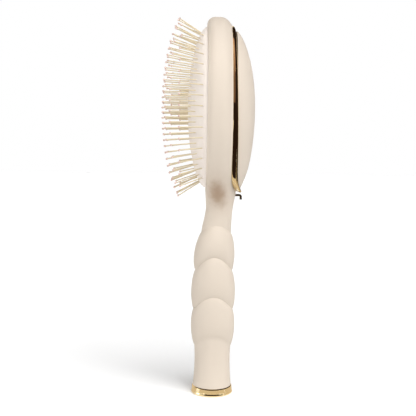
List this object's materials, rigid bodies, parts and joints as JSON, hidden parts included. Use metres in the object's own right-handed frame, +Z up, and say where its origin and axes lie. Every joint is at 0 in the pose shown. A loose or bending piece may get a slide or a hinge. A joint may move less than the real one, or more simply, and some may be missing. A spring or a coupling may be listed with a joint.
{
  "type": "detangling brush",
  "caption": "Free-standing detangling hair brush with an oval air cushion of ball-tipped pins, a domed back, a gold ring and a waved grip on a metal foot.",
  "frame": {"origin": "centre of the foot's flat face, on the grip's centre line", "axes": "+Z up along the grip towards the head, -X the way the pins point, +Y across the head"},
  "size_m": [0.0597, 0.0714, 0.2418],
  "materials": {
    "body": "soft-touch matt beige plastic",
    "gold": "polished gold plating",
    "cushion": "matt off-white rubber with a lilac tint",
    "pin": "champagne gold wire",
    "pin_tip": "rose-brown ball tips",
    "carrier": "moulded plastic, inside",
    "steel": "plain steel, inside",
    "plug": "turned brass, inside",
    "foot_pad": "anti-slip rubber pad"
  },
  "bodies": {
    "body": {"body_shell": "body", "back_cover": "body", "trim_ring": "gold", "pad_carrier": "carrier", "carrier_screws": "steel", "hanging_hook": "gold", "foot_cap": "gold", "foot_plug": "plug", "foot_screw": "steel", "foot_pad": "foot_pad", "balance_weight": "steel"},
    "pin_bed": {"cushion": "cushion", "pin_row_1": "pin", "pin_row_2": "pin", "pin_row_3": "pin", "pin_row_4": "pin", "pin_row_5": "pin", "pin_row_6": "pin", "pin_row_7": "pin", "pin_row_8": "pin", "pin_row_9": "pin", "pin_tips": "pin_tip"}
  },
  "joints": [
    {"name": "pad_press", "type": "slide", "parent": "body", "child": "pin_bed", "axis": [1, 0, 0], "range_m": [0, 0.0025], "stiffness_N_per_m": 1500, "deforming": ["cushion"]}
  ]
}
